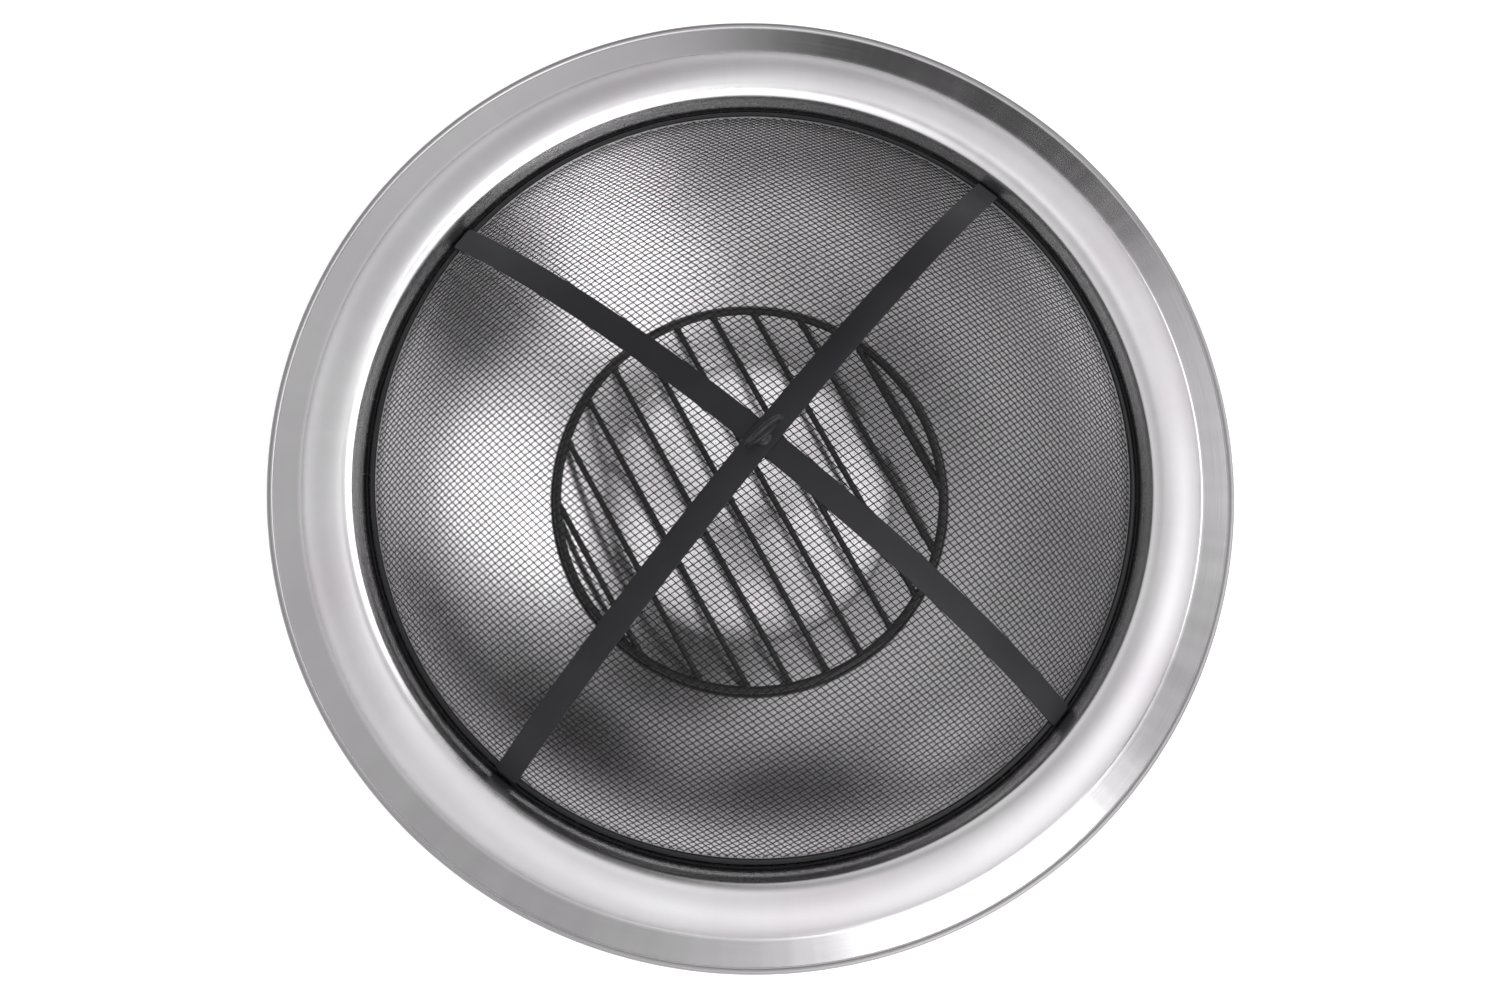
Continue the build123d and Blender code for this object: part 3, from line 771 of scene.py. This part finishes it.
def grate():
    """Ring, bars and the welds between them."""
    wire = (high("grate_ring").z - low("grate_ring").z) / 2
    radius = high("grate_ring").x - wire
    ring = place("grate_rim", ring_mesh("grate_rim", "grate_ring", 256, 18), GRATE_COAT)
    finish(ring, "grate", "grate_black", "grate_ring")
    tree = grate_bars_tree()
    values = {"Count": BAR_COUNT, "Pitch": BAR_PITCH, "Direction": BAR_DIRECTION,
              "Ring Radius": radius - 0.4 * wire, "Height": low("grate_ring").z + wire,
              "Wire Radius": BAR_WIRE, "Sides": 16, "Bead Length": 3.4 * MM, "Bead Width": 2.4 * MM}
    bars = run_tree("grate_bars", tree, {**values, "Beads Only": False, "Material": GRATE_COAT}, 60.0)
    names = [f"grate_bar_{i:02d}" for i in range(1, BAR_COUNT + 1)]
    finish(place("grate_bars", bars, GRATE_COAT), "grate", "grate_black", *names)
    values["Ring Radius"] = radius - wire - 0.6 * MM
    beads = run_tree("grate_welds", tree, {**values, "Beads Only": True, "Material": WELD_COAT}, 80.0)
    finish(place("grate_welds", beads, WELD_COAT), "grate", "grate_black")


grate()


# ---- pedestal -----------------------------------------------------------------------------------
def skirt_radius(z):
    """Outer radius of the pedestal at height z."""
    return NECK_RADIUS + SKIRT_SLOPE * (SKIRT_HIGH - z)


def skirt_outline():
    """Sheet of the pedestal with its cut edges eased."""
    ease = 0.35 * MM
    heights = [SKIRT_LOW + ease + (SKIRT_HIGH - SKIRT_LOW - 2 * ease) * i / 24 for i in range(25)]
    outside = [(skirt_radius(z), z) for z in heights]
    inside = [(r - SHEET, z) for r, z in outside]
    foot = [(FOOT_RADIUS - SHEET + ease, SKIRT_LOW), (FOOT_RADIUS - ease, SKIRT_LOW)]
    neck = [(NECK_RADIUS - ease, SKIRT_HIGH), (NECK_RADIUS - SHEET + ease, SKIRT_HIGH)]
    return foot + outside + neck + inside[::-1]


skirt = place("skirt", lathe_mesh("skirt", skirt_outline(), 384), SKIRT_STEEL)
finish(skirt, "root", "stainless_brushed", "pedestal_skirt")


def seam_mesh():
    """Dressed weld that closes the rolled sheet of the pedestal."""
    sections = []
    for i in range(161):
        z = SKIRT_LOW + 1.0 * MM + (SKIRT_HIGH - SKIRT_LOW - 2.0 * MM) * i / 160
        ripple = 1.0 + 0.16 * sin(i * 2.1)
        section = []
        for k in range(12):
            turn = 2 * pi * k / 12
            out = skirt_radius(z) + 0.32 * MM * ripple * sin(turn) - 0.02 * MM
            section.append((out, 1.3 * MM * ripple * cos(turn), z))
        sections.append(section)
    mesh = bar_mesh("skirt_seam", sections, 60.0)
    mesh.transform(Matrix.Rotation(FIRST_PAD, 4, "Z"))
    return mesh


finish(place("skirt_seam", seam_mesh(), WIRE_STEEL), "root", "stainless_brushed")

support = place("support_wire", ring_mesh("support_wire", "support_ring", 384, 20), WIRE_STEEL)
finish(support, "root", "stainless_wire", "support_ring")


def rounded_box_outline(inner, outer, bottom, top, rounding):
    """Closed outline of a rounded rectangle."""
    outline = []
    corners = ((outer, top, 0.0), (outer, bottom, 90.0), (inner, bottom, 180.0), (inner, top, 270.0))
    for r, z, turn in corners:
        centre = (r - rounding if r == outer else r + rounding,
                  z - rounding if z == top else z + rounding)
        outline += arc(centre, rounding, radians(turn), radians(turn + 90.0), 6)
    return outline


foot_outer, foot_low, foot_high = high("foot_ring").x, low("foot_ring").z, high("foot_ring").z
foot = rounded_box_outline(foot_outer - FOOT_RING_WIDTH, foot_outer, foot_low, foot_high, 2.0 * MM)
foot = place("foot_bar", lathe_mesh("foot_bar", foot, 384), FOOT_COAT)
finish(foot, "root", "black_coat", "foot_ring")


def pad_mesh():
    """Rubber pad with a rounded foot and a shallow groove, its top just under the foot ring."""
    top = foot_low - 0.06 * MM
    outline = [(0.0, top), (PAD_RADIUS - 0.4 * MM, top), (PAD_RADIUS, top - 0.4 * MM)]
    outline += arc((PAD_RADIUS - 1.0 * MM, 1.0 * MM), 1.0 * MM, pi / 2, pi, 6)
    outline += [(PAD_RADIUS - 3.0 * MM, 0.0), (PAD_RADIUS - 3.4 * MM, 0.5 * MM),
                (PAD_RADIUS - 4.2 * MM, 0.5 * MM), (PAD_RADIUS - 4.6 * MM, 0.0), (0.0, 0.0)]
    mesh = lathe_mesh("pads", outline, 56)
    mesh.transform(Matrix.Translation((foot_outer - FOOT_RING_WIDTH / 2, 0, 0)))
    return mesh


pads = around_axis("pads", pad_mesh(), 4, FIRST_PAD, PAD_RUBBER)
finish(pads, "root", "foot_rubber", *[f"foot_pad_{i}" for i in range(1, 5)])


def hexagon(half_width, turn):
    """Radius of a hexagon in this direction."""
    return half_width / cos((turn + pi / 6) % (pi / 3) - pi / 6)


def stacked_mesh(name, rings, segments=48):
    """Skin over rings, each a radius function of the angle and a height; capped at both ends."""
    sections = [[(radius(2 * pi * i / segments) * cos(2 * pi * i / segments),
                  radius(2 * pi * i / segments) * sin(2 * pi * i / segments), z)
                 for i in range(segments)] for radius, z in rings]
    return bar_mesh(name, sections, 25.0)


def on_skirt(mesh):
    """Move a mesh made about Z on to the pedestal's face at the first screw, its Z pointing outwards."""
    lean = Matrix.Rotation(pi / 2 - SKIRT_LEAN, 4, "Y")
    mesh.transform(Matrix.Translation((skirt_radius(SCREW_Z), 0, SCREW_Z)) @ lean)
    return mesh


def circle(radius):
    """Radius function of a round section."""
    return lambda turn: radius


def hexagonal(half_width):
    """Radius function of a hexagon section."""
    return lambda turn: hexagon(half_width, turn)


def screw_mesh():
    """Button head with a hexagon socket, and a threaded shank."""
    tip = -SCREW_LENGTH
    root, crest = circle(SCREW_RADIUS - 0.35 * MM), circle(SCREW_RADIUS - 0.02 * MM)
    rings = [(circle(SCREW_RADIUS - 0.7 * MM), tip)]
    for i in range(int((SCREW_LENGTH - 1.0 * MM) / THREAD_PITCH)):
        base = tip + 0.5 * MM + i * THREAD_PITCH
        rings += [(root, base), (crest, base + 0.45 * THREAD_PITCH)]
    edge = 0.25 * MM
    rings += [(root, 0.0), (circle(SCREW_HEAD - 0.1 * MM), 0.06 * MM), (circle(SCREW_HEAD), edge)]
    for i in range(1, 9):
        rise = pi / 2 * i / 9
        radius = SCREW_HEAD - (SCREW_HEAD - 3.0 * MM) * (1 - cos(rise))
        rings.append((circle(radius), edge + (SCREW_HEAD_HEIGHT - edge) * sin(rise)))
    rings += [(circle(2.7 * MM), SCREW_HEAD_HEIGHT),
              (lambda turn: hexagon(SOCKET, turn) + 0.08 * MM, SCREW_HEAD_HEIGHT),
              (hexagonal(SOCKET), SCREW_HEAD_HEIGHT - 0.15 * MM),
              (hexagonal(SOCKET), SCREW_HEAD_HEIGHT - 1.7 * MM),
              (circle(0.4 * MM), SCREW_HEAD_HEIGHT - 2.1 * MM)]
    return on_skirt(stacked_mesh("screws", rings))


def nut_mesh():
    """Hexagon nut with chamfered corners, on the inside of the bracket."""
    edge_gap = skirt_radius(SCREW_Z) - sqrt(skirt_radius(SCREW_Z) ** 2 - (BRACKET_WIDTH / 2) ** 2)
    face = -(SHEET + BRACKET_SHEET + edge_gap + 0.2 * MM)
    back = face - NUT_HEIGHT
    half, chamfer = NUT_SIZE / 2, 0.55 * MM
    full, bore = hexagonal(half), circle(SCREW_RADIUS - 0.3 * MM)

    def edged(turn):
        return min(hexagon(half, turn), half * 1.02)

    rings = [(bore, back + 0.3 * MM), (edged, back), (full, back + chamfer),
             (full, face - chamfer), (edged, face), (bore, face)]
    return on_skirt(stacked_mesh("nuts", rings))


screws = around_axis("screws", screw_mesh(), 4, 0.0, TURNED_STEEL)
finish(screws, "root", "fastener_steel", "bracket_screws")
nuts = around_axis("nuts", nut_mesh(), 4, 0.0, TURNED_STEEL)
finish(nuts, "root", "fastener_steel", "bracket_nuts")

for number in range(1, 5):
    bracket = frame["nodes"][f"bowl_bracket_{number}"]
    bracket.data.materials.clear()
    bracket.data.materials.append(PLATE_STEEL)


# ---- studio -------------------------------------------------------------------------------------
RIM_CENTRE = Vector((0.0, 0.0, RIM_Z))
LENS = 40.6                      # focal length in mm, on a 36 mm sensor
CAMERA_DISTANCE = 3.5            # in rim radii
CAMERA_AZIMUTH, CAMERA_ZENITH = -152.25, 11.2
CAMERA_UP_AZIMUTH = 38.85
AIM_OFFSET = Vector((-13.7, -7.1, 0.0)) * MM
FLOOR_HALF = 8.0
FLOOR_GLOW = 0.35


def look_matrix(spot, aim, up):
    """Matrix of a camera at spot that looks at aim."""
    back = (spot - aim).normalized()
    side = up.cross(back).normalized()
    rows = Matrix((side, back.cross(side), back)).transposed().to_4x4()
    rows.translation = spot
    return rows


def direction(azimuth, zenith):
    """Unit vector; angles in degrees, zenith from straight up."""
    a, z = radians(azimuth), radians(zenith)
    return Vector((sin(z) * cos(a), sin(z) * sin(a), cos(z)))


def camera():
    """Camera almost straight above the bowl."""
    data = bpy.data.cameras.new("camera")
    data.lens = LENS
    data.sensor_width = 36.0
    piece = bpy.data.objects.new("camera", data)
    bpy.context.scene.collection.objects.link(piece)
    spot = RIM_CENTRE + CAMERA_DISTANCE * RIM_RADIUS * direction(CAMERA_AZIMUTH, CAMERA_ZENITH)
    piece.matrix_world = look_matrix(spot, RIM_CENTRE + AIM_OFFSET, direction(CAMERA_UP_AZIMUTH, 90.0))
    bpy.context.scene.camera = piece


# The sky is tuned by trial, for the tones that the steel mirrors in the camera's own view.
SKY_BY_HEIGHT = [     # cosine of the angle from straight up, brightness
    (0.00, 1.10), (0.20, 1.00), (0.36, 0.60), (0.60, 0.75), (0.75, 0.62), (0.90, 0.50), (1.00, 0.50)]
SKY_PATCHES = [       # azimuth, zenith, full within, gone beyond (degrees), brightness
    (14.0, 47.0, 13.0, 21.0, 0.06),
    (6.0, 83.0, 13.0, 22.0, 0.03),
    (43.0, 86.0, 11.0, 23.0, 0.08),
    (100.0, 91.0, 16.0, 40.0, 0.5),
    (-172.0, 83.0, 12.0, 30.0, 0.55),
    (-38.0, 56.0, 9.0, 23.0, 2.7),
    (-26.0, 50.0, 4.0, 12.0, 3.9),
    (-20.0, 87.0, 7.0, 13.0, 0.1),
    (-104.0, 48.0, 9.0, 20.0, 3.2),
    (-104.0, 66.0, 6.0, 20.0, 3.5),
    (-76.0, 72.0, 9.0, 19.0, 0.05),
    (-60.0, 30.0, 5.0, 13.0, 0.4),
    (-94.0, 23.0, 3.0, 9.0, 4.0),
    (175.0, 20.0, 4.0, 14.0, 0.4),
    (28.0, 10.0, 7.0, 15.0, 1.7),
    (-150.0, 45.0, 6.0, 24.0, 1.4),
]


def sky_patch_group():
    """One soft-edged round patch of sky laid over the rest."""
    t = Tree("sky_patch", "ShaderNodeTree", [
        ("Sky", "Float"), ("Looking", "Vector"), ("Towards", "Vector"), ("Full Cosine", "Float"),
        ("Gone Cosine", "Float"), ("Brightness", "Float")], [("Sky", "Float")])
    near = t.add("ShaderNodeVectorMath", {0: t["Looking"], 1: t["Towards"]}, output="Value",
                 operation="DOT_PRODUCT")
    share = t.add("ShaderNodeMapRange", {
        "Value": near, "From Min": t["Gone Cosine"], "From Max": t["Full Cosine"]},
        interpolation_type="SMOOTHSTEP")
    change = t.math("SUBTRACT", t["Brightness"], t["Sky"])
    t.put("Sky", t.math("MULTIPLY_ADD", change, share, t["Sky"]))
    return t.group


def studio():
    """Pale floor that glows a little, and a sky that lights the steel but looks plain white."""
    scene = bpy.context.scene
    scene.view_settings.view_transform = "Standard"
    half = FLOOR_HALF
    corners = [(-half, -half, 0), (half, -half, 0), (half, half, 0), (-half, half, 0)]
    mesh = bpy.data.meshes.new("floor")
    mesh.from_pydata(corners, [], [(0, 1, 2, 3)])
    white = coat("floor_white", (0.93, 0.93, 0.93), (0.9, 0.9, 0.9), 0.9, 30.0, 0.2, 0.05,
                 (0.02, 0.0002), Emission_Color=(1.0, 1.0, 1.0, 1.0), Emission_Strength=FLOOR_GLOW)
    floor = place("floor", mesh, white)
    world = bpy.data.worlds.new("studio")
    scene.world = world
    world.use_nodes = True
    nodes, links = world.node_tree.nodes, world.node_tree.links
    looking = nodes.new("ShaderNodeTexCoord").outputs["Generated"]
    upright = nodes.new("ShaderNodeSeparateXYZ")
    links.new(looking, upright.inputs[0])
    ramp = nodes.new("ShaderNodeValToRGB")
    ramp.color_ramp.interpolation = "EASE"
    stops = ramp.color_ramp.elements
    while len(stops) < len(SKY_BY_HEIGHT):
        stops.new(0.5)
    for stop, (height, brightness) in zip(stops, SKY_BY_HEIGHT):
        stop.position = height
        stop.color = (brightness, brightness, brightness, 1.0)
    links.new(upright.outputs["Z"], ramp.inputs["Fac"])
    sky = ramp.outputs["Color"]
    patch_group = sky_patch_group()
    for azimuth, zenith, full, gone, brightness in SKY_PATCHES:
        patch = nodes.new("ShaderNodeGroup")
        patch.node_tree = patch_group
        links.new(sky, patch.inputs["Sky"])
        links.new(looking, patch.inputs["Looking"])
        patch.inputs["Towards"].default_value = direction(azimuth, zenith)
        patch.inputs["Full Cosine"].default_value = cos(radians(full))
        patch.inputs["Gone Cosine"].default_value = cos(radians(gone))
        patch.inputs["Brightness"].default_value = brightness
        sky = patch.outputs["Sky"]
    eye = nodes.new("ShaderNodeLightPath")
    backdrop = nodes.new("ShaderNodeMix")
    backdrop.data_type = "RGBA"
    backdrop.inputs[7].default_value = (1.0, 1.0, 1.0, 1.0)
    links.new(eye.outputs["Is Camera Ray"], backdrop.inputs["Factor"])
    links.new(sky, backdrop.inputs[6])
    links.new(backdrop.outputs[2], nodes["Background"].inputs["Color"])


camera()
studio()
